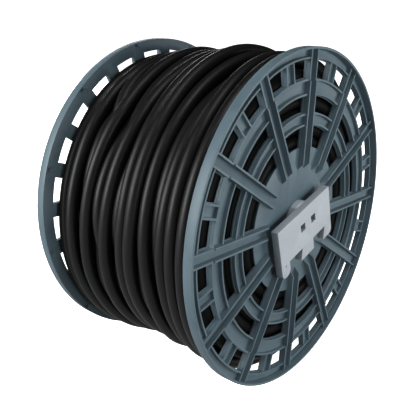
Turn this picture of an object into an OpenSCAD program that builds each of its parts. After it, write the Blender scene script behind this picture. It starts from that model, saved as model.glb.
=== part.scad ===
// Moulded plastic cable drum, full of cable, with a swivelling bearing plate on its front hub.
// The drum lies on its two rims: its axis runs along Y and the front flange faces -Y.
// The origin is on the floor, below the middle of the overall length.

/* [Drum] */
// Diameter over the rims of the flanges
flange_d = 400; // [385:1:440]
// Width of the drum from rim face to rim face
drum_width = 240; // [200:1:300]
// Outer diameter of the barrel that the cable is wound on
barrel_d = 172; // [166:1:178]
// Wall of the barrel tube
barrel_wall = 3.5; // [2.5:0.1:5]
// Bore through the hub of each flange
hub_bore_d = 49; // [40:0.5:56]
// Wall of the sleeve round the hub bore
sleeve_wall = 3; // [2:0.1:5]
// Length of the hub bore, from the web's outer face into the drum
hub_bore_length = 32; // [20:1:45]
// Depth that a flange's spigot reaches into the barrel
spigot_depth = 14; // [8:1:20]
// Wall of the spigot
spigot_wall = 2.5; // [2:0.1:4]
// Radial gap between the spigot and the inside of the barrel
spigot_gap = 0.1; // [0.05:0.05:0.3]

/* [Flange moulding] */
// Depth of the flange, which is the width of its tread
rim_depth = 11.3; // [10.5:0.1:16]
// Thickness of the lip round the rim
rim_wall = 2.6; // [2:0.1:4]
// Thickness of the web
web_thickness = 2.3; // [2:0.1:4]
// Thickness of the spoke, ring and bridge ribs
rib_wall = 2.2; // [1.6:0.1:3]
// Number of spokes
spoke_count = 12; // [8:1:14]
// Angle of the first spoke from straight up, clockwise as the front is seen
spoke_phase = 3.6; // [0:0.1:15]
// Width over the two ribs of a spoke
spoke_w = 15.5; // [12:0.5:20]
// Height of the spoke ribs from the inner face, between the hub and the second ring
spoke_h = 9.3; // [8.5:0.1:10]
// How much lower the spoke ribs are outside the second ring
spoke_step = 1.5; // [0.5:0.1:2]
// Radius at which the spoke ribs rise from the hub
spoke_start_r = 62; // [58:1:68]
// Length of the slope at the start of a spoke rib
spoke_slope = 7; // [3:0.5:12]
// Height of the ring and bridge ribs from the inner face
ring_h = 6.8; // [5:0.1:7.5]
// Width over the two ribs of a bridge, between the outer windows
bridge_w = 16; // [10:0.5:20]
// Width of the gutter between the rim lip and the outermost ring
gutter_w = 8.6; // [6:0.1:14]
// Depth of the outer windows, along the radius
outer_window = 20; // [14:0.5:24]
// Depth of the middle windows
middle_window = 18; // [12:0.5:22]
// Width of the web between the middle and inner windows
inner_band = 16; // [10:0.5:20]
// Depth of the inner windows
inner_window = 24; // [16:0.5:28]
// Width of web left between a window's edge and the ribs round it
window_ledge = 0.8; // [0.4:0.1:3]
// Width of the hub disc's edge outside the barrel
hub_margin = 2; // [1:0.5:5]

/* [Cable] */
// Diameter of the cable
cable_d = 15; // [12:0.5:20]
// Rise from one layer of cable to the next
layer_rise = 15; // [12:0.5:20]
// Number of layers on the barrel
layer_count = 6; // [3:1:6]
// How far the outer layer swells between the flanges
winding_crown = 14; // [0:0.5:16]
// Outer turns from one that has sunk between its neighbours to the next such turn
sunk_every = 4; // [3:1:8]
// How much deeper a sunk turn lies
sunk_depth = 8; // [0:0.5:10]
// Gap between the winding and the barrel and flanges
winding_gap = 0.3; // [0.1:0.05:0.6]

/* [Bearing plate] */
// Width of the plate, along its top edge
plate_w = 113; // [100:0.5:124]
// Distance of the drum's axis from the left end of the plate
plate_left = 62; // [56:0.5:66]
// Distance of the drum's axis below the top edge
plate_top = 22.5; // [18:0.5:26]
// Distance of the leg ends below the axis
plate_drop = 42.5; // [38:0.5:46]
// Thickness of the plate
plate_t = 9; // [5:0.5:12]
// Running gap between the plate's back and the spoke ribs
plate_gap = 0.5; // [0.3:0.1:2]
// Angle by which the plate is turned, anticlockwise as the front is seen
plate_turn = 14.5; // [0:0.5:30]
// Width of the left leg
left_leg = 17; // [12:0.5:20]
// Width of the right leg at its root
right_leg = 15.5; // [12:0.5:20]
// Width of the middle hook at its root
hook_w = 24.5; // [18:0.5:28]
// Distance of the middle hook's right side from the axis
hook_right = 8; // [4:0.5:12]
// Distance of the notch tops below the axis
notch_top = 26; // [20:0.5:32]
// How far the hook and the right leg lean over their notches
hook_lean = 5; // [2:0.5:8]
// How much shorter the hook is than the left leg
hook_short = 1.4; // [0.5:0.1:4]
// Radius of the leg ends and corners
leg_r = 7; // [4:0.5:8]
// Side of the two square holes
square_hole = 9.5; // [6:0.5:12]
// Distance between the centres of the square holes
square_pitch = 23; // [18:0.5:28]
// Radial running clearance of the plate's boss in the hub bore
boss_clearance = 0.05; // [0.01:0.01:0.1]
// Length of the boss inside the hub bore
boss_grip = 26; // [15:1:30]
// Wall of the boss
boss_wall = 4; // [2.5:0.5:6]

/* [Hidden] */
$fn = 96;

plastic_grey = [0.40, 0.47, 0.50];
plate_grey = [0.70, 0.73, 0.76];
cable_black = [0.06, 0.06, 0.065];

// Cuts run this far past the faces they open.
over = 1;

flange_r = flange_d / 2;
barrel_r = barrel_d / 2;
hub_bore_r = hub_bore_d / 2;
inner_width = drum_width - 2 * rim_depth;
spoke_pitch = 360 / spoke_count;

// Radii of the rows of windows: the outer row hangs from the rim, the others stand on the hub.
outer_high_r = flange_r - rim_wall - gutter_w - rib_wall - window_ledge;
outer_low_r = outer_high_r - outer_window;
inner_low_r = barrel_r + hub_margin;
inner_high_r = inner_low_r + inner_window;
middle_low_r = inner_high_r + inner_band;
middle_high_r = middle_low_r + middle_window;

// The ring ribs stand along the window edges.
second_ring_r = outer_low_r - window_ledge - rib_wall;
ring_inner_radii = [
    outer_high_r + window_ledge,
    second_ring_r,
    middle_high_r + window_ledge,
    middle_low_r - window_ledge - rib_wall,
    inner_high_r + window_ledge
];

// Ribs, lip and collars are rooted in the middle of the web.
root_h = web_thickness / 2;

// Turns of cable side by side in a layer, and the layer radii
turn_count = floor((inner_width - 2 * winding_gap) / cable_d);
turn_pitch = (inner_width - 2 * winding_gap - cable_d) / (turn_count - 1);
first_layer_r = barrel_r + winding_gap + cable_d / 2;
last_layer_r = first_layer_r + (layer_count - 1) * layer_rise;

// The outer layer rises steeply from the flanges to a broad crown, in which some turns have sunk.
function crown_rise(turn) = winding_crown * sqrt(sin(180 * turn / (turn_count - 1)));
function is_sunk(turn) = turn % sunk_every == floor(sunk_every / 2);
function turn_r(turn) = last_layer_r + crown_rise(turn) - (is_sunk(turn) ? sunk_depth : 0);

// The plate's faces, measured out from the front flange's inner face
plate_back = spoke_h + plate_gap;
plate_front = plate_back + plate_t;
boss_r = hub_bore_r - boss_clearance;
plate_right = plate_w - plate_left;

// The plate stands proud of the front rim, so the drum's middle lies half of that behind the origin.
middle_y = (plate_front - rim_depth) / 2;
axis_z = flange_r;

// A shape drawn with its axis along Z is laid with that axis along -Y, drawn "up" staying up.
module on_front(out = 0) {
    translate([0, middle_y - inner_width / 2 - out, axis_z])
        rotate([90, 0, 0])
            children();
}

module around(count, phase = 0) {
    for (i = [0 : count - 1])
        rotate(-phase - i * 360 / count)
            children();
}

module annulus(low_r, high_r) {
    difference() {
        circle(r = high_r);
        circle(r = low_r);
    }
}

// A bar from the middle straight up, as wide as the two ribs of a spoke or a bridge
module bar(width) {
    translate([-width / 2, 0])
        square([width, flange_r]);
}

// A row of windows is a ring that the spokes, and the bridges if any, divide.
module windows(low_r, high_r, bridged = false) {
    difference() {
        annulus(low_r, high_r);
        around(spoke_count, spoke_phase) bar(spoke_w + 2 * window_ledge);
        if (bridged)
            around(spoke_count, spoke_phase + spoke_pitch / 2) bar(bridge_w + 2 * window_ledge);
    }
}

module web() {
    linear_extrude(web_thickness)
        difference() {
            circle(r = flange_r);
            circle(r = hub_bore_r);
            windows(outer_low_r, outer_high_r, bridged = true);
            windows(middle_low_r, middle_high_r);
            windows(inner_low_r, inner_high_r);
        }
}

// The two ribs of a spoke: each slopes up from the hub and steps down outside the second ring.
module spoke() {
    end_r = flange_r - rim_wall / 2;
    for (side = [-1, 1])
        translate([side * (spoke_w - rib_wall) / 2 + rib_wall / 2, 0, 0])
            rotate([90, 0, -90])
                mirror([1, 0, 0])
                    linear_extrude(rib_wall)
                        polygon([
                            [spoke_start_r, root_h],
                            [end_r, root_h],
                            [end_r, spoke_h - spoke_step],
                            [second_ring_r, spoke_h - spoke_step],
                            [second_ring_r, spoke_h],
                            [spoke_start_r + spoke_slope, spoke_h],
                            [spoke_start_r, web_thickness]
                        ]);
}

// The two ribs of a bridge, from the second ring to the outermost one
module bridge() {
    bridge_length = outer_window + 2 * window_ledge + rib_wall;
    for (side = [-1, 1])
        translate([side * (bridge_w - rib_wall) / 2 - rib_wall / 2, second_ring_r + rib_wall / 2, root_h])
            cube([rib_wall, bridge_length, ring_h - root_h]);
}

// The ring ribs end in the spokes, whose channels stay clear from the hub to the rim.
module ring_ribs() {
    translate([0, 0, root_h])
        linear_extrude(ring_h - root_h)
            difference() {
                for (low_r = ring_inner_radii)
                    annulus(low_r, low_r + rib_wall);
                around(spoke_count, spoke_phase) bar(spoke_w - rib_wall);
            }
}

// The lip makes the rim as deep as the flange.
module rim_lip() {
    translate([0, 0, root_h])
        linear_extrude(rim_depth - root_h)
            annulus(flange_r - rim_wall, flange_r);
}

// Inside the drum: the sleeve round the hub bore, and the spigot that centres the barrel
module hub_collars() {
    sleeve_length = hub_bore_length - web_thickness;
    spigot_r = barrel_r - barrel_wall - spigot_gap;
    translate([0, 0, -sleeve_length])
        linear_extrude(sleeve_length + root_h)
            annulus(hub_bore_r, hub_bore_r + sleeve_wall);
    translate([0, 0, -spigot_depth])
        linear_extrude(spigot_depth + root_h)
            annulus(spigot_r - spigot_wall, spigot_r);
}

module flange() {
    web();
    ring_ribs();
    rim_lip();
    hub_collars();
    around(spoke_count, spoke_phase) spoke();
    around(spoke_count, spoke_phase + spoke_pitch / 2) bridge();
}

module flange_front() {
    color(plastic_grey)
        on_front() flange();
}

// The rear flange is the same moulding, turned to face the other way.
module flange_rear() {
    color(plastic_grey)
        translate([0, 2 * middle_y, 0])
            mirror([0, 1, 0])
                on_front() flange();
}

module barrel() {
    color(plastic_grey)
        on_front(-inner_width)
            linear_extrude(inner_width)
                annulus(barrel_r - barrel_wall, barrel_r);
}

// The winding is one turned solid: its turns show round the outside, its layers on the ends.
module cable_winding() {
    end_y = inner_width / 2 - winding_gap - cable_d / 2;
    outer_turns = [for (turn = [0 : turn_count - 1]) [turn_r(turn), -end_y + turn * turn_pitch]];
    core_r = barrel_r + winding_gap;
    color(cable_black)
        on_front(-inner_width / 2)
            rotate_extrude() {
                polygon(concat([[core_r, -end_y]], outer_turns, [[core_r, end_y]]));
                for (place = outer_turns)
                    translate(place)
                        circle(d = cable_d);
                for (layer = [0 : layer_count - 2], side = [-1, 1])
                    translate([first_layer_r + layer * layer_rise, side * end_y])
                        circle(d = cable_d);
            }
}

// Outline of the plate, with the drum's axis at its origin
module plate_outline() {
    hook_left = hook_right - hook_w;
    hook_drop = plate_drop - hook_short;
    right_root = plate_right - right_leg;
    difference() {
        translate([-plate_left, -plate_drop])
            square([plate_w, plate_drop + plate_top]);
        polygon([
            [-plate_left + left_leg, -plate_drop - over],
            [-plate_left + left_leg, -notch_top],
            [hook_left, -notch_top],
            [hook_left - hook_lean, -hook_drop],
            [hook_right, -hook_drop],
            [hook_right, -notch_top],
            [right_root, -notch_top],
            [right_root - hook_lean, -hook_drop],
            [right_root - hook_lean, -plate_drop - over]
        ]);
    }
}

// What a rounded corner takes away, for a corner at the lower left
module corner_cut() {
    difference() {
        translate([-over, -over])
            square(leg_r + over);
        translate([leg_r, leg_r])
            circle(r = leg_r);
    }
}

module bearing_plate() {
    plate_low = plate_back - web_thickness + boss_grip;
    color(plate_grey)
        on_front(plate_back)
            rotate(plate_turn) {
                difference() {
                    linear_extrude(plate_t)
                        difference() {
                            plate_outline();
                            translate([-plate_left, -plate_drop]) corner_cut();
                            translate([plate_right, -plate_drop]) mirror([1, 0]) corner_cut();
                        }
                    for (side = [-1, 1])
                        translate([side * square_pitch / 2 - square_hole / 2, -square_hole / 2, -over])
                            cube([square_hole, square_hole, plate_t + 2 * over]);
                }
                translate([0, 0, -plate_low])
                    linear_extrude(plate_low)
                        annulus(boss_r - boss_wall, boss_r);
            }
}

flange_front();
flange_rear();
barrel();
cable_winding();
bearing_plate();
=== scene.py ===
# Moulded plastic cable drum, wound full of black cable, with a swivelling bearing plate on its front hub.
import math

import bmesh
import bpy
import numpy as np
from mathutils import Matrix, Vector


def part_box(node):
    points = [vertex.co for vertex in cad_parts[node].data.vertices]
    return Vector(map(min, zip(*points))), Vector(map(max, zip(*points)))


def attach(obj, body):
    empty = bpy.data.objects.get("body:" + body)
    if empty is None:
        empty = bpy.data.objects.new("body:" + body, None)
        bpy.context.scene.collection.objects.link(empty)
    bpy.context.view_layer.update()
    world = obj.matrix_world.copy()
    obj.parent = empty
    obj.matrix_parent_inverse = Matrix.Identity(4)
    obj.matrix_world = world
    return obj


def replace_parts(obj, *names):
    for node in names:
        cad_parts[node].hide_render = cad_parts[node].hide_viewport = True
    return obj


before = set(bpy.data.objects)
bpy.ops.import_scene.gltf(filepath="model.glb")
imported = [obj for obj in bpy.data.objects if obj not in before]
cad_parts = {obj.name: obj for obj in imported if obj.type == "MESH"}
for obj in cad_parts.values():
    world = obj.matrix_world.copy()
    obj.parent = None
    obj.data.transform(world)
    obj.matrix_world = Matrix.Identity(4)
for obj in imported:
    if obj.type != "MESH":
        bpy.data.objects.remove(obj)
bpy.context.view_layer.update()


# Barrel
# A plain tube of grey-blue plastic that the cable is wound on, plugged onto the spigots of both flanges.
# It is moulded in the same plastic as they are, and the cable hides most of it.
DRUM_TONE_DARK = (0.118, 0.168, 0.196, 1)
DRUM_TONE_LIGHT = (0.150, 0.206, 0.236, 1)
DRUM_WORN_TONE = (0.27, 0.33, 0.36, 1)
DRUM_ROUGHNESS = 0.50
DRUM_RUB_SCALE = 14
GRAIN_SCALE = 1500
GRAIN_STRENGTH = 0.22
GRAIN_DEPTH = 0.0003
PATCH_SCALE = 24
PATCH_DISTORTION = 0.6
PATCH_RANGE = (0.32, 0.68)
PATCH_ROUGHNESS_SPREAD = 0.05
RUB_RANGE = (0.56, 0.78)
RUB_SHARE = 0.35
SCRATCH_SCALE = 90
SCRATCH_WIDTH = 0.02
WEAR_PALENESS = 0.30
WEAR_DULLING = 0.12


def put(tree, kind, **values):
    """Adds a node. Each value goes to the input or else the setting of that name, a socket as a link."""
    made = tree.nodes.new(kind)
    for name, value in values.items():
        label = name.replace("_", " ").title()
        if label not in made.inputs:
            setattr(made, name, value)
        elif isinstance(value, bpy.types.NodeSocket):
            tree.links.new(value, made.inputs[label])
        else:
            made.inputs[label].default_value = value
    return made


def calc(tree, operation, *terms):
    """A Math node's result. Each term is a number or a socket."""
    made = tree.nodes.new("ShaderNodeMath")
    made.operation = operation
    for i, term in enumerate(terms):
        if isinstance(term, bpy.types.NodeSocket):
            tree.links.new(term, made.inputs[i])
        else:
            made.inputs[i].default_value = term
    return made.outputs[0]


def tint(tree, share, first, second):
    """The colour that lies the given share of the way from the first to the second."""
    made = tree.nodes.new("ShaderNodeMix")
    made.data_type = "RGBA"
    tree.links.new(share, made.inputs[0])
    # A Mix node takes its two colours at inputs 6 and 7 and gives the result at output 2.
    for i, colour in ((6, first), (7, second)):
        if isinstance(colour, bpy.types.NodeSocket):
            tree.links.new(colour, made.inputs[i])
        else:
            made.inputs[i].default_value = colour
    return made.outputs[2]


def spread(tree, value, low, high, to_low=0.0, to_high=1.0):
    """The value, stretched from one range to another and held inside it."""
    made = put(tree, "ShaderNodeMapRange", value=value, from_min=low, from_max=high)
    made.inputs["To Min"].default_value = to_low
    made.inputs["To Max"].default_value = to_high
    return made.outputs[0]


def effect(name, inputs, outputs):
    """An empty shader node group with those named sockets, and its inner input and output nodes."""
    tree = bpy.data.node_groups.new(name, "ShaderNodeTree")
    for label, kind in inputs.items():
        tree.interface.new_socket(label, in_out="INPUT", socket_type=kind)
    for label in outputs:
        tree.interface.new_socket(label, in_out="OUTPUT", socket_type="NodeSocketFloat")
    return tree, tree.nodes.new("NodeGroupInput").outputs, tree.nodes.new("NodeGroupOutput").inputs


def moulded_skin():
    """What a steel mould leaves on plastic: a fine grain, and soft patches where it cooled unevenly."""
    sizes = {"Place": "NodeSocketVector", "Grain Scale": "NodeSocketFloat",
             "Patch Scale": "NodeSocketFloat"}
    tree, given, result = effect("moulded_skin", sizes, ("Grain", "Patches"))
    grain = put(tree, "ShaderNodeTexNoise", vector=given["Place"], scale=given["Grain Scale"], detail=3.0)
    patches = put(tree, "ShaderNodeTexNoise", vector=given["Place"], scale=given["Patch Scale"], detail=4.0)
    patches.inputs["Distortion"].default_value = PATCH_DISTORTION
    tree.links.new(grain.outputs["Fac"], result["Grain"])
    tree.links.new(spread(tree, patches.outputs["Fac"], *PATCH_RANGE), result["Patches"])
    return tree


def handling_wear():
    """Rubbed places and thin scratches from handling, as one mask that is mostly empty."""
    sizes = {"Place": "NodeSocketVector", "Rub Scale": "NodeSocketFloat",
             "Scratch Scale": "NodeSocketFloat"}
    tree, given, result = effect("handling_wear", sizes, ("Wear",))
    rubbed = put(tree, "ShaderNodeTexNoise", vector=given["Place"], scale=given["Rub Scale"], detail=6.0)
    rub_mask = spread(tree, rubbed.outputs["Fac"], *RUB_RANGE)
    lines = put(tree, "ShaderNodeTexVoronoi", vector=given["Place"], scale=given["Scratch Scale"])
    lines.feature = "DISTANCE_TO_EDGE"
    line_mask = spread(tree, lines.outputs["Distance"], 0.0, SCRATCH_WIDTH, 1.0, 0.0)
    scratches = calc(tree, "MULTIPLY", line_mask, rub_mask)
    faint_rub = calc(tree, "MULTIPLY", rub_mask, RUB_SHARE)
    tree.links.new(calc(tree, "MAXIMUM", faint_rub, scratches), result["Wear"])
    return tree


moulded_skin_group = moulded_skin()
handling_wear_group = handling_wear()


def new_material(name):
    """A material, its node tree and its Principled shader."""
    made = bpy.data.materials.new(name)
    made.use_nodes = True
    return made, made.node_tree, made.node_tree.nodes["Principled BSDF"]


def bump(tree, shader, height, strength, distance):
    """Gives the shader a fine relief of that height."""
    made = put(tree, "ShaderNodeBump", height=height, strength=strength, distance=distance)
    tree.links.new(made.outputs["Normal"], shader.inputs["Normal"])


def moulded_plastic(name, dark, light, worn, roughness, rub_scale):
    """Satin moulded plastic: two close tones in soft patches, a fine grain, and paler rubbed places."""
    made, tree, shader = new_material(name)
    place = put(tree, "ShaderNodeTexCoord").outputs["Object"]
    skin = put(tree, "ShaderNodeGroup", node_tree=moulded_skin_group)
    skin.inputs["Grain Scale"].default_value = GRAIN_SCALE
    skin.inputs["Patch Scale"].default_value = PATCH_SCALE
    wear = put(tree, "ShaderNodeGroup", node_tree=handling_wear_group)
    wear.inputs["Rub Scale"].default_value = rub_scale
    wear.inputs["Scratch Scale"].default_value = SCRATCH_SCALE
    for group in (skin, wear):
        tree.links.new(place, group.inputs["Place"])
    toned = tint(tree, skin.outputs["Patches"], dark, light)
    faint_wear = calc(tree, "MULTIPLY", wear.outputs["Wear"], WEAR_PALENESS)
    tree.links.new(tint(tree, faint_wear, toned, worn), shader.inputs["Base Color"])
    shine = spread(tree, skin.outputs["Patches"], 0.0, 1.0,
                   roughness - PATCH_ROUGHNESS_SPREAD, roughness + PATCH_ROUGHNESS_SPREAD)
    dulled = calc(tree, "ADD", shine, calc(tree, "MULTIPLY", wear.outputs["Wear"], WEAR_DULLING))
    tree.links.new(dulled, shader.inputs["Roughness"])
    bump(tree, shader, skin.outputs["Grain"], GRAIN_STRENGTH, GRAIN_DEPTH)
    return made


drum_plastic = moulded_plastic("drum_plastic_finish", DRUM_TONE_DARK, DRUM_TONE_LIGHT, DRUM_WORN_TONE,
                               DRUM_ROUGHNESS, DRUM_RUB_SCALE)
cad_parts["barrel"].data.materials[0] = drum_plastic


# Flanges
# Two like mouldings in grey-blue plastic, each a thin web with windows, stiffened by spoke, ring and bridge
# ribs. Every edge keeps the small radius that its mould has, and the ejector pins left round dents in the
# inner faces.
FLANGE_EDGE_RADIUS = 0.0005
EDGE_SEGMENTS = 2
CORNER_SEGMENTS = 8
SHARP_ANGLE = math.radians(40)
FLAT_ANGLE = math.radians(1)
SMOOTH_ANGLE = math.radians(30)
MERGE_DISTANCE = 1e-6
EJECTOR_RADIUS = 0.0036
EJECTOR_DEPTH = 0.0005
EJECTOR_CIRCLE_RADIUS = 0.1925
EJECTOR_COUNT = 12
FIRST_EJECTOR_ANGLE = math.radians(11.4)
PIN_SIDES = 24
FACING_ALONG_AXIS = math.radians(90)

front_low, front_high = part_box("flange_front")
rear_low, rear_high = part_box("flange_rear")
barrel_low, barrel_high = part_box("barrel")
flange_r = (front_high.z - front_low.z) / 2
drum_middle = Vector((0, (front_low.y + rear_high.y) / 2, flange_r))


def new_piece(name, mesh, body):
    """A finished piece at the origin, riding on its body."""
    made = bpy.data.objects.new(name, mesh)
    bpy.context.scene.collection.objects.link(made)
    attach(made, body)
    return made


def moulded_copy(name, node, radius, finish, corner=None, corner_radius=0):
    """The node's solid as one closed mesh, its flat faces whole and all its edges rounded.

    Where a corner is given, the edge along the drum's axis that is nearest to it is rounded first and more.
    """
    shape = bmesh.new()
    shape.from_mesh(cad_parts[node].data)
    bmesh.ops.remove_doubles(shape, verts=shape.verts, dist=MERGE_DISTANCE)
    bmesh.ops.dissolve_limit(shape, angle_limit=FLAT_ANGLE, verts=shape.verts, edges=shape.edges)
    if corner:
        along = [edge for edge in shape.edges if edge.verts[0].co.xz == edge.verts[1].co.xz]
        nearest = min(along, key=lambda edge: (edge.verts[0].co.xz - corner.xz).length)
        bmesh.ops.bevel(shape, geom=[nearest], offset=corner_radius, offset_type="OFFSET",
                        segments=CORNER_SEGMENTS, profile=0.5, affect="EDGES")
    sharp = [edge for edge in shape.edges if edge.calc_face_angle() > SHARP_ANGLE]
    bmesh.ops.bevel(shape, geom=sharp, offset=radius, offset_type="OFFSET", segments=EDGE_SEGMENTS,
                    profile=0.5, affect="EDGES", clamp_overlap=True)
    for face in shape.faces:
        face.smooth = True
        face.material_index = 0
    mesh = bpy.data.meshes.new(name)
    shape.to_mesh(mesh)
    shape.free()
    mesh.set_sharp_from_angle(angle=SMOOTH_ANGLE)
    mesh.materials.append(finish)
    return mesh


def geometry_tree(name, sizes):
    """An empty Geometry Nodes tree with named size inputs, and its inner input and output nodes."""
    tree = bpy.data.node_groups.new(name, "GeometryNodeTree")
    tree.interface.new_socket("Geometry", in_out="INPUT", socket_type="NodeSocketGeometry")
    for label, kind in sizes.items():
        tree.interface.new_socket(label, in_out="INPUT", socket_type=kind)
    tree.interface.new_socket("Geometry", in_out="OUTPUT", socket_type="NodeSocketGeometry")
    return tree, tree.nodes.new("NodeGroupInput").outputs, tree.nodes.new("NodeGroupOutput").inputs


def grown_mesh(name, start, tree, sizes):
    """What the tree makes of the start data, as a plain mesh."""
    holder = bpy.data.objects.new(name + "_start", start)
    bpy.context.scene.collection.objects.link(holder)
    modifier = holder.modifiers.new("grow", "NODES")
    modifier.node_group = tree
    for item in tree.interface.items_tree:
        if item.in_out == "INPUT" and item.name in sizes:
            modifier[item.identifier] = sizes[item.name]
    bpy.context.view_layer.update()
    graph = bpy.context.evaluated_depsgraph_get()
    mesh = bpy.data.meshes.new_from_object(holder.evaluated_get(graph), depsgraph=graph)
    mesh.name = name
    holder.modifiers.remove(modifier)
    bpy.data.objects.remove(holder)
    return mesh


def pin_marks_tree():
    """Takes round dents out of the start mesh, in a ring about a middle, one for each ejector pin."""
    sizes = {"Circle Radius": "NodeSocketFloat", "Pin Radius": "NodeSocketFloat",
             "Pin Length": "NodeSocketFloat", "Count": "NodeSocketInt", "Middle": "NodeSocketVector",
             "Turn": "NodeSocketVector"}
    tree, given, result = geometry_tree("ejector_pin_marks", sizes)
    number = put(tree, "GeometryNodeInputIndex").outputs["Index"]
    angle = calc(tree, "MULTIPLY", number, calc(tree, "DIVIDE", 2 * math.pi, given["Count"]))
    spot = put(tree, "ShaderNodeCombineXYZ",
               x=calc(tree, "MULTIPLY", calc(tree, "COSINE", angle), given["Circle Radius"]),
               y=calc(tree, "MULTIPLY", calc(tree, "SINE", angle), given["Circle Radius"]))
    ring = put(tree, "GeometryNodePoints", count=given["Count"], position=spot.outputs["Vector"])
    pin = put(tree, "GeometryNodeMeshCylinder", radius=given["Pin Radius"], depth=given["Pin Length"])
    pin.inputs["Vertices"].default_value = PIN_SIDES
    pins = put(tree, "GeometryNodeInstanceOnPoints", points=ring.outputs[0], instance=pin.outputs["Mesh"])
    real = put(tree, "GeometryNodeRealizeInstances", geometry=pins.outputs["Instances"])
    turned = put(tree, "GeometryNodeTransform", geometry=real.outputs["Geometry"],
                 translation=given["Middle"], rotation=given["Turn"])
    dented = tree.nodes.new("GeometryNodeMeshBoolean")
    dented.operation = "DIFFERENCE"
    dented.solver = "EXACT"
    tree.links.new(given["Geometry"], dented.inputs[0])
    tree.links.new(turned.outputs["Geometry"], dented.inputs[1])
    tree.links.new(dented.outputs["Mesh"], result["Geometry"])
    return tree


pin_marks = pin_marks_tree()
pin_sizes = {"Circle Radius": EJECTOR_CIRCLE_RADIUS, "Pin Radius": EJECTOR_RADIUS, "Count": EJECTOR_COUNT,
             "Pin Length": 2 * EJECTOR_DEPTH, "Turn": (FACING_ALONG_AXIS, -FIRST_EJECTOR_ANGLE, 0)}
for name, node, inner_face in (("front_flange_moulding", "flange_front", barrel_low.y),
                               ("rear_flange_moulding", "flange_rear", barrel_high.y)):
    plain = moulded_copy(name + "_plain", node, FLANGE_EDGE_RADIUS, drum_plastic)
    pin_sizes["Middle"] = (0, inner_face, drum_middle.z)
    dented = grown_mesh(name, plain, pin_marks, pin_sizes)
    dented.set_sharp_from_angle(angle=SMOOTH_ANGLE)
    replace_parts(new_piece(name, dented, "drum"), node)


# Cable
# About seventy metres of black jacketed cable, wound on in layers that end at the flanges. The outer turns
# wander: some ride up on their neighbours or dive under them, and in the gaps the layer below shows.
CABLE_D = 0.015
LAYER_COUNT = 6
WALL_GAP = 0.0003
CABLE_SIDES = 16
SLICES = 150
FIRST_ANGLE = -45
TUCKED_SLICES = 22
TUCKED_DEPTH = 0.020
SMOOTHING_ROUNDS = 14
SMOOTHING_SHARE = 0.25
SETTLE_ROUNDS = 260
PULL_TO_AIM = 0.05
TAUTNESS = 0.2
PUSH_SHARE = 0.25
OUTER_TURN_GIVES = 0.8
LOWER_TURN_GIVES = 1.2
LEAST_DISTANCE = 1e-9
DEEP_RADIUS = 0.1545
BESIDE_FLANGE = 0.0985
JACKET_SHINE = 0.42
# The deep finish is the jacket with far less shine, a painted shade for turns deep in the gaps or beside a
# flange.
SHADED_JACKET_SHINE = 0.08
CABLE_TONE = (0.011, 0.011, 0.0115, 1)
CABLE_DUSTY_TONE = (0.045, 0.043, 0.041, 1)
CABLE_RUB_SCALE = 40
CABLE_SCRATCH_SCALE = 160
DUST_SHARE = 0.35
DUST_DULLING = 0.25
DRAWN_LINE_SCALE = 900.0
DRAWN_LINE_STRETCH = (1, 1, 0.03)
DRAWN_LINE_RANGE = (0.3, 0.7)
DRAWN_LINE_STRENGTH = 0.10
DRAWN_LINE_DEPTH = 0.0002
SATIN_ROUGHNESS = (0.40, 0.50)

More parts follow.
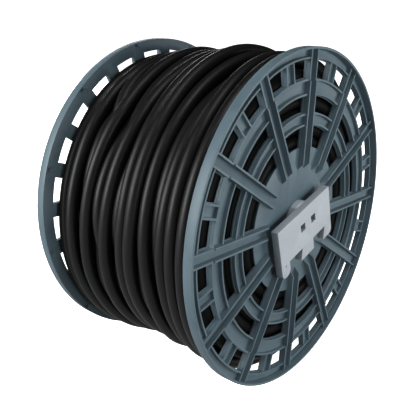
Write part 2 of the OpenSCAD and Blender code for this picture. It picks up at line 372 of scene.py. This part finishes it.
# Outer turns from the rear to the front, each by a few places that it passes: the angle from straight up
# over the left side, the distance along the axis from the drum's middle, and the distance of its own middle
# from the axis.
OUTER_TURNS = [
    [(-30, 0.100, 0.176), (0, 0.100, 0.174), (20, 0.100, 0.174), (65, 0.100, 0.172), (90, 0.100, 0.175),
     (110, 0.100, 0.181), (145, 0.100, 0.187)],
    [(-30, 0.086, 0.179), (0, 0.086, 0.176), (20, 0.086, 0.176), (65, 0.0855, 0.173), (90, 0.085, 0.177),
     (110, 0.085, 0.183), (145, 0.084, 0.188)],
    [(-30, 0.072, 0.182), (0, 0.072, 0.179), (20, 0.071, 0.178), (32, 0.065, 0.180), (40, 0.061, 0.179),
     (50, 0.055, 0.167), (58, 0.053, 0.161), (85, 0.051, 0.161), (100, 0.050, 0.168),
     (115, 0.048, 0.176), (145, 0.051, 0.176)],
    [(-30, 0.050, 0.186), (0, 0.049, 0.185), (20, 0.049, 0.181), (35, 0.0465, 0.179), (50, 0.0485, 0.178),
     (65, 0.0545, 0.177), (85, 0.057, 0.178), (100, 0.059, 0.181), (120, 0.063, 0.184),
     (145, 0.066, 0.187)],
    [(-30, 0.033, 0.184), (0, 0.032, 0.183), (20, 0.030, 0.176), (40, 0.030, 0.173), (50, 0.027, 0.171),
     (57, 0.026, 0.166), (66, 0.0255, 0.161), (145, 0.0255, 0.160)],
    [(-30, 0.013, 0.185), (0, 0.014, 0.184), (20, 0.014, 0.179), (65, 0.017, 0.178), (85, 0.0225, 0.180),
     (105, 0.028, 0.182), (120, 0.033, 0.183), (145, 0.040, 0.181)],
    [(-30, -0.008, 0.187), (0, -0.003, 0.187), (20, -0.004, 0.182), (40, -0.006, 0.180),
     (80, -0.006, 0.180), (100, 0.000, 0.180), (120, 0.007, 0.179), (145, 0.016, 0.177)],
    [(-30, -0.029, 0.191), (-10, -0.026, 0.192), (5, -0.021, 0.191), (20, -0.019, 0.186),
     (40, -0.020, 0.183), (65, -0.021, 0.183), (90, -0.018, 0.182), (110, -0.012, 0.181),
     (120, -0.008, 0.180), (145, 0.001, 0.177)],
    [(-30, -0.046, 0.187), (-10, -0.042, 0.187), (0, -0.038, 0.184), (20, -0.034, 0.177),
     (65, -0.0345, 0.1755), (100, -0.038, 0.179), (110, -0.037, 0.181), (145, -0.027, 0.179)],
    [(-30, -0.060, 0.172), (0, -0.060, 0.172), (20, -0.060, 0.174), (65, -0.0615, 0.178),
     (110, -0.060, 0.179), (145, -0.052, 0.180)],
    [(-30, -0.067, 0.187), (0, -0.068, 0.185), (20, -0.072, 0.183), (40, -0.075, 0.181),
     (90, -0.0765, 0.181), (110, -0.075, 0.182), (145, -0.068, 0.184)],
    [(-30, -0.083, 0.187), (0, -0.084, 0.185), (20, -0.089, 0.182), (40, -0.0925, 0.182),
     (90, -0.0925, 0.182), (110, -0.091, 0.184), (145, -0.085, 0.185), (200, -0.094, 0.178),
     (260, -0.100, 0.164)],
]

# Turns of the layers below that show in the gaps: distance along the axis, radius of the middle, and where
# one rises to the surface the angle, the spread of the rise in degrees and its height.
LOWER_TURNS = [
    (0.100, 0.157, 0, 30, 0),
    (0.085, 0.158, 0, 30, 0),
    (0.067, 0.159, 65, 19, 0.0120),
    (0.055, 0.145, 0, 30, 0),
    (0.040, 0.161, 82, 18, 0.0155),
    (0.025, 0.145, 0, 30, 0),
    (0.0085, 0.160, 80, 20, 0.0155),
    (-0.010, 0.163, 0, 30, 0),
    (-0.025, 0.164, 112, 20, 0.013),
    (-0.036, 0.146, 0, 30, 0),
    (-0.047, 0.160, 72, 42, 0.0115),
    (-0.0625, 0.157, 0, 30, 0),
    (-0.082, 0.165, 0, 30, 0),
    (-0.091, 0.149, 0, 30, 0),
    (-0.100, 0.167, 0, 30, 0),
]

barrel_r = (barrel_high.z - barrel_low.z) / 2
end_turn = (barrel_high.y - barrel_low.y) / 2 - WALL_GAP - CABLE_D / 2
first_layer_r = barrel_r + WALL_GAP + CABLE_D / 2
slice_angles = FIRST_ANGLE + np.arange(SLICES) * 360 / SLICES


def passing_places(column):
    """Each outer turn's places at all slices. On the far side it steps over to the next turn's first."""
    rows = []
    for number, places in enumerate(OUTER_TURNS):
        angles = [place[0] for place in places]
        values = [place[column] for place in places]
        if number + 1 < len(OUTER_TURNS):
            angles.append(360 + OUTER_TURNS[number + 1][0][0])
            values.append(OUTER_TURNS[number + 1][0][column])
        if number > 0:
            angles.insert(0, OUTER_TURNS[number - 1][-1][0] - 360)
            values.insert(0, OUTER_TURNS[number - 1][-1][column])
        rows.append(np.interp(slice_angles, angles, values))
    return rows


def lower_places():
    """Distance along the axis and radius of each lower turn at all slices."""
    along_rows = []
    radius_rows = []
    for along, radius, centre, width, rise in LOWER_TURNS:
        away = (slice_angles - centre + 180) % 360 - 180
        along_rows.append(np.full(SLICES, along))
        radius_rows.append(radius + rise * np.exp(-(away / width) ** 2 / 2))
    return along_rows, radius_rows


def relax(rows, share):
    """Draws the outer run, and each lower turn, a little straighter."""
    run = rows[:len(OUTER_TURNS)].reshape(-1)
    run[1:-1] += share * (run[:-2] + run[2:] - 2 * run[1:-1])
    closed = rows[len(OUTER_TURNS):]
    closed += share * (np.roll(closed, 1, 1) + np.roll(closed, -1, 1) - 2 * closed)


def settled_turns():
    """All turns' places, pulled taut and pushed apart until each lies against its neighbours."""
    lower_along, lower_radius = lower_places()
    aim_along = np.array(passing_places(1) + lower_along)
    aim_radius = np.array(passing_places(2) + lower_radius)
    for _ in range(SMOOTHING_ROUNDS):
        relax(aim_along, SMOOTHING_SHARE)
        relax(aim_radius, SMOOTHING_SHARE)
    along = aim_along.copy()
    radius = aim_radius.copy()
    is_outer = np.arange(len(along)) < len(OUTER_TURNS)
    gives_way = np.where(is_outer, OUTER_TURN_GIVES, LOWER_TURN_GIVES)[:, None, None]
    for _ in range(SETTLE_ROUNDS):
        along += PULL_TO_AIM * (aim_along - along)
        radius += PULL_TO_AIM * (aim_radius - radius)
        relax(along, TAUTNESS)
        relax(radius, TAUTNESS)
        aside = along[:, None] - along[None]
        above = radius[:, None] - radius[None]
        apart = np.hypot(aside, above) + LEAST_DISTANCE
        push = PUSH_SHARE * gives_way * np.clip(CABLE_D - apart, 0, None) / apart
        along += (push * aside).sum(1)
        radius += (push * above).sum(1)
        along = np.clip(along, -end_turn, end_turn)
    return along, radius


def drum_point(angle, radius, along):
    """A point by its angle from straight up over the left side, its radius and its place along the axis."""
    turned = np.radians(angle)
    return np.stack([drum_middle.x - radius * np.sin(turned), drum_middle.y + along,
                     drum_middle.z + radius * np.cos(turned)], axis=-1)


def add_run(curve, points, closed):
    """Adds one stretch of cable along those points."""
    spline = curve.splines.new("POLY")
    spline.points.add(len(points) - 1)
    spline.points.foreach_set("co", np.c_[points, np.ones(len(points))].ravel())
    spline.use_cyclic_u = closed


def cable_route():
    """The outer turns as one run with tucked ends, and rings for the turns below and the inner layers."""
    curve = bpy.data.curves.new("cable_route", "CURVE")
    curve.dimensions = "3D"
    along, radius = settled_turns()
    outer_count = len(OUTER_TURNS)
    run_angle = FIRST_ANGLE + np.arange(-TUCKED_SLICES, outer_count * SLICES) * 360 / SLICES
    run_along = np.r_[np.full(TUCKED_SLICES, along[0, 0]), along[:outer_count].ravel()]
    sinking = TUCKED_DEPTH * (1 - np.cos(np.linspace(np.pi, 0, TUCKED_SLICES))) / 2
    run_radius = np.r_[radius[0, 0] - sinking, radius[:outer_count].ravel()]
    add_run(curve, drum_point(run_angle, run_radius, run_along), False)
    for row in range(outer_count, len(along)):
        add_run(curve, drum_point(slice_angles, radius[row], along[row]), True)
    for layer in range(LAYER_COUNT - 1):
        for side in (-1, 1):
            ring_radius = np.full(SLICES, first_layer_r + layer * CABLE_D)
            ring_along = np.full(SLICES, side * end_turn)
            add_run(curve, drum_point(slice_angles, ring_radius, ring_along), True)
    return curve


def cable_tree():
    """Sweeps a round jacket along the route, and keeps each point's place on the straight cable.

    Turns deep in the gaps or against a flange get a copy of the jacket with far less shine: painted shade.
    """
    sizes = {"Cable Radius": "NodeSocketFloat", "Sides": "NodeSocketInt", "Middle": "NodeSocketVector",
             "Deep Radius": "NodeSocketFloat", "Beside Flange": "NodeSocketFloat",
             "Finish": "NodeSocketMaterial", "Shaded Deep Finish": "NodeSocketMaterial"}
    tree, given, result = geometry_tree("wound_cable_sweep", sizes)
    length = put(tree, "GeometryNodeSplineParameter").outputs["Length"]
    marked = put(tree, "GeometryNodeStoreNamedAttribute", geometry=given["Geometry"], name="cable_run",
                 value=length)
    ring = put(tree, "GeometryNodeCurvePrimitiveCircle", resolution=given["Sides"],
               radius=given["Cable Radius"])
    around = put(tree, "GeometryNodeInputPosition").outputs["Position"]
    section = put(tree, "GeometryNodeStoreNamedAttribute", data_type="FLOAT_VECTOR",
                  geometry=ring.outputs["Curve"], name="cable_section", value=around)
    tube = put(tree, "GeometryNodeCurveToMesh", curve=marked.outputs["Geometry"],
               profile_curve=section.outputs["Geometry"], fill_caps=True)
    rounded = put(tree, "GeometryNodeSetShadeSmooth", geometry=tube.outputs["Mesh"])
    from_middle = put(tree, "ShaderNodeVectorMath", operation="SUBTRACT")
    tree.links.new(around, from_middle.inputs[0])
    tree.links.new(given["Middle"], from_middle.inputs[1])
    from_axis = put(tree, "ShaderNodeVectorMath", operation="MULTIPLY")
    tree.links.new(from_middle.outputs["Vector"], from_axis.inputs[0])
    from_axis.inputs[1].default_value = (1, 0, 1)
    height = put(tree, "ShaderNodeVectorMath", operation="LENGTH")
    tree.links.new(from_axis.outputs["Vector"], height.inputs[0])
    deep = calc(tree, "LESS_THAN", height.outputs["Value"], given["Deep Radius"])
    aside = put(tree, "ShaderNodeSeparateXYZ", vector=from_middle.outputs["Vector"]).outputs["Y"]
    beside = calc(tree, "GREATER_THAN", calc(tree, "ABSOLUTE", aside), given["Beside Flange"])
    coloured = put(tree, "GeometryNodeSetMaterial", geometry=rounded.outputs["Geometry"],
                   material=given["Finish"])
    dulled = put(tree, "GeometryNodeSetMaterial", geometry=coloured.outputs["Geometry"],
                 selection=calc(tree, "MAXIMUM", deep, beside), material=given["Shaded Deep Finish"])
    tree.links.new(dulled.outputs["Geometry"], result["Geometry"])
    return tree


def cable_jacket(name, shine):
    """Black satin jacket with faint drawn lines along it and a little pale dust."""
    made, tree, shader = new_material(name)
    section = put(tree, "ShaderNodeAttribute", attribute_name="cable_section").outputs["Vector"]
    run = put(tree, "ShaderNodeAttribute", attribute_name="cable_run").outputs["Fac"]
    flat = put(tree, "ShaderNodeSeparateXYZ", vector=section)
    straight = put(tree, "ShaderNodeCombineXYZ", x=flat.outputs["X"], y=flat.outputs["Y"], z=run)
    stretched = put(tree, "ShaderNodeMapping", vector=straight.outputs["Vector"])
    stretched.inputs["Scale"].default_value = DRAWN_LINE_STRETCH
    drawn = put(tree, "ShaderNodeTexNoise", vector=stretched.outputs["Vector"], scale=DRAWN_LINE_SCALE,
                detail=3.0)
    wear = put(tree, "ShaderNodeGroup", node_tree=handling_wear_group)
    wear.inputs["Rub Scale"].default_value = CABLE_RUB_SCALE
    wear.inputs["Scratch Scale"].default_value = CABLE_SCRATCH_SCALE
    tree.links.new(straight.outputs["Vector"], wear.inputs["Place"])
    dust = calc(tree, "MULTIPLY", wear.outputs["Wear"], DUST_SHARE)
    tree.links.new(tint(tree, dust, CABLE_TONE, CABLE_DUSTY_TONE), shader.inputs["Base Color"])
    satin = spread(tree, drawn.outputs["Fac"], *DRAWN_LINE_RANGE, *SATIN_ROUGHNESS)
    dulled = calc(tree, "ADD", satin, calc(tree, "MULTIPLY", dust, DUST_DULLING))
    tree.links.new(dulled, shader.inputs["Roughness"])
    shader.inputs["Specular IOR Level"].default_value = shine
    bump(tree, shader, drawn.outputs["Fac"], DRAWN_LINE_STRENGTH, DRAWN_LINE_DEPTH)
    return made


# The deep finish is a dulled copy of the jacket: painted shade on the turns that lie deep or beside a
# flange.
cable_sizes = {"Cable Radius": CABLE_D / 2, "Sides": CABLE_SIDES, "Middle": drum_middle,
               "Deep Radius": DEEP_RADIUS, "Beside Flange": BESIDE_FLANGE,
               "Finish": cable_jacket("cable_jacket_finish", JACKET_SHINE),
               "Shaded Deep Finish": cable_jacket("shaded_deep_cable_jacket_finish", SHADED_JACKET_SHINE)}
cable_mesh = grown_mesh("wound_cable", cable_route(), cable_tree(), cable_sizes)
wound_cable = new_piece("wound_cable", cable_mesh, "drum")
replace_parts(wound_cable, "cable_winding")


# Bearing plate
# A thick light grey moulding with two legs, a hook between them, and a hollow boss that turns in the front
# hub bore. Its edges are rounded more than the flanges', and a pin left a dent in its rounded left leg.
PLATE_EDGE_RADIUS = 0.0006
LEG_CORNER = Vector((-0.033, 0, 0.1475))
LEG_CORNER_RADIUS = 0.008
DENT_X, DENT_Z = -0.0455, 0.1600
DENT_RADIUS = 0.0018
DENT_DEPTH = 0.0006
PLATE_TONE_DARK = (0.45, 0.485, 0.52, 1)
PLATE_TONE_LIGHT = (0.485, 0.52, 0.555, 1)
PLATE_WORN_TONE = (0.58, 0.60, 0.62, 1)
PLATE_ROUGHNESS = 0.55
PLATE_RUB_SCALE = 30

plate_plastic = moulded_plastic("plate_plastic_finish", PLATE_TONE_DARK, PLATE_TONE_LIGHT, PLATE_WORN_TONE,
                                PLATE_ROUGHNESS, PLATE_RUB_SCALE)
plain_plate = moulded_copy("bearing_plate_plain", "bearing_plate", PLATE_EDGE_RADIUS, plate_plastic,
                           LEG_CORNER, LEG_CORNER_RADIUS)
dent_sizes = {"Circle Radius": 0.0, "Pin Radius": DENT_RADIUS, "Count": 1, "Pin Length": 2 * DENT_DEPTH,
              "Middle": (DENT_X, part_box("bearing_plate")[0].y, DENT_Z), "Turn": (FACING_ALONG_AXIS, 0, 0)}
plate_mesh = grown_mesh("bearing_plate_moulding", plain_plate, pin_marks, dent_sizes)
plate_mesh.set_sharp_from_angle(angle=SMOOTH_ANGLE)
plate = new_piece("bearing_plate_moulding", plate_mesh, "bearing_plate")
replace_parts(plate, "bearing_plate")


# Floor, light and camera
# A pale floor that runs out into white, and soft boxes to the left, above, behind, and to both sides in
# front. The floor is white to the camera, dimmer where it is mirrored, and throws little light back.
WHITE = (1, 1, 1, 1)
FLOOR_SIZE = 12.0
FLOOR_TONE = (0.93, 0.93, 0.93, 1)
FLOOR_BOUNCE_TONE = (0.30, 0.30, 0.30, 1)
FLOOR_ROUGHNESS = 0.9
FLOOR_GLOW = 0.92
FLOOR_SHARE_IN_GLOSS = 0.25
DOME_STRENGTH = 0.05
BACKDROP_STRENGTH = 1.0
VIEW_AZIMUTH = math.radians(-49.87)
VIEW_ELEVATION = math.radians(18.57)
VIEW_DISTANCE = 0.7643
VIEW_ASIDE, VIEW_RAISE = -0.0294, 0.0006
VIEW_LENS = 52.78
SENSOR_WIDTH = 36
NEAREST_SEEN = 0.01
PICTURE_EXPOSURE = 0.35
PICTURE_GAMMA = 0.8

floor_mesh = bpy.data.meshes.new("floor")
half_floor = FLOOR_SIZE / 2
floor_corners = [(-half_floor, -half_floor, 0), (half_floor, -half_floor, 0), (half_floor, half_floor, 0),
                 (-half_floor, half_floor, 0)]
floor_mesh.from_pydata(floor_corners, [], [(0, 1, 2, 3)])
floor = bpy.data.objects.new("floor", floor_mesh)
bpy.context.scene.collection.objects.link(floor)
floor_finish, floor_tree, floor_shader = new_material("floor_finish")
floor_shader.inputs["Base Color"].default_value = FLOOR_TONE
floor_shader.inputs["Roughness"].default_value = FLOOR_ROUGHNESS
floor_shader.inputs["Emission Color"].default_value = WHITE
floor_shader.inputs["Emission Strength"].default_value = FLOOR_GLOW
quiet_floor = put(floor_tree, "ShaderNodeBsdfDiffuse")
quiet_floor.inputs["Color"].default_value = FLOOR_BOUNCE_TONE
floor_rays = put(floor_tree, "ShaderNodeLightPath").outputs
floor_in_gloss = calc(floor_tree, "MULTIPLY", floor_rays["Is Glossy Ray"], FLOOR_SHARE_IN_GLOSS)
floor_seen = calc(floor_tree, "MAXIMUM", floor_rays["Is Camera Ray"], floor_in_gloss)
floor_choice = put(floor_tree, "ShaderNodeMixShader")
floor_tree.links.new(floor_seen, floor_choice.inputs[0])
floor_tree.links.new(quiet_floor.outputs[0], floor_choice.inputs[1])
floor_tree.links.new(floor_shader.outputs[0], floor_choice.inputs[2])
floor_tree.links.new(floor_choice.outputs[0], floor_tree.nodes["Material Output"].inputs["Surface"])
floor_mesh.materials.append(floor_finish)

world = bpy.data.worlds.new("studio")
bpy.context.scene.world = world
world.use_nodes = True
sky = world.node_tree
dome = sky.nodes["Background"]
dome.inputs["Color"].default_value = WHITE
dome.inputs["Strength"].default_value = DOME_STRENGTH
backdrop = put(sky, "ShaderNodeBackground", strength=BACKDROP_STRENGTH)
backdrop.inputs["Color"].default_value = WHITE
seen = put(sky, "ShaderNodeLightPath").outputs["Is Camera Ray"]
chosen = put(sky, "ShaderNodeMixShader")
sky.links.new(seen, chosen.inputs[0])
sky.links.new(dome.outputs[0], chosen.inputs[1])
sky.links.new(backdrop.outputs[0], chosen.inputs[2])
sky.links.new(chosen.outputs[0], sky.nodes["World Output"].inputs["Surface"])


def soft_box(name, direction, distance, width, height, power):
    """A soft light of that width and height that faces the drum from that direction."""
    lamp = bpy.data.lights.new(name, "AREA")
    lamp.shape = "RECTANGLE"
    lamp.size = width
    lamp.size_y = height
    lamp.energy = power
    made = bpy.data.objects.new(name, lamp)
    made.location = drum_middle + Vector(direction).normalized() * distance
    made.rotation_euler = (drum_middle - made.location).to_track_quat("-Z", "Y").to_euler()
    bpy.context.scene.collection.objects.link(made)


soft_box("left_softbox", (-0.84, 0.42, 0.32), distance=3.0, width=2.0, height=1.7, power=86)
soft_box("front_fill", (-0.20, -1.0, 0.15), distance=1.8, width=0.6, height=0.6, power=10)
soft_box("front_key", (0.62, -1.0, 0.0), distance=1.6, width=0.6, height=0.6, power=9)
soft_box("rear_softbox", (0.60, 1.0, 0.22), distance=3.0, width=2.0, height=1.4, power=32)
soft_box("top_softbox", (-0.10, -0.40, 1.0), distance=2.0, width=1.0, height=1.0, power=11)

camera = bpy.data.objects.new("camera", bpy.data.cameras.new("camera"))
camera.data.lens = VIEW_LENS
camera.data.sensor_width = SENSOR_WIDTH
camera.data.clip_start = NEAREST_SEEN
backward = Vector((math.sin(VIEW_AZIMUTH) * math.cos(VIEW_ELEVATION),
                   -math.cos(VIEW_AZIMUTH) * math.cos(VIEW_ELEVATION), math.sin(VIEW_ELEVATION)))
rightward = Vector((math.cos(VIEW_AZIMUTH), math.sin(VIEW_AZIMUTH), 0))
upward = backward.cross(rightward)
camera.location = drum_middle + backward * VIEW_DISTANCE + rightward * VIEW_ASIDE + upward * VIEW_RAISE
camera.rotation_mode = "QUATERNION"
camera.rotation_quaternion = Matrix((rightward, upward, backward)).transposed().to_quaternion()
bpy.context.scene.collection.objects.link(camera)
bpy.context.scene.camera = camera
bpy.context.scene.view_settings.view_transform = "Standard"
bpy.context.scene.view_settings.exposure = PICTURE_EXPOSURE
bpy.context.scene.view_settings.gamma = PICTURE_GAMMA
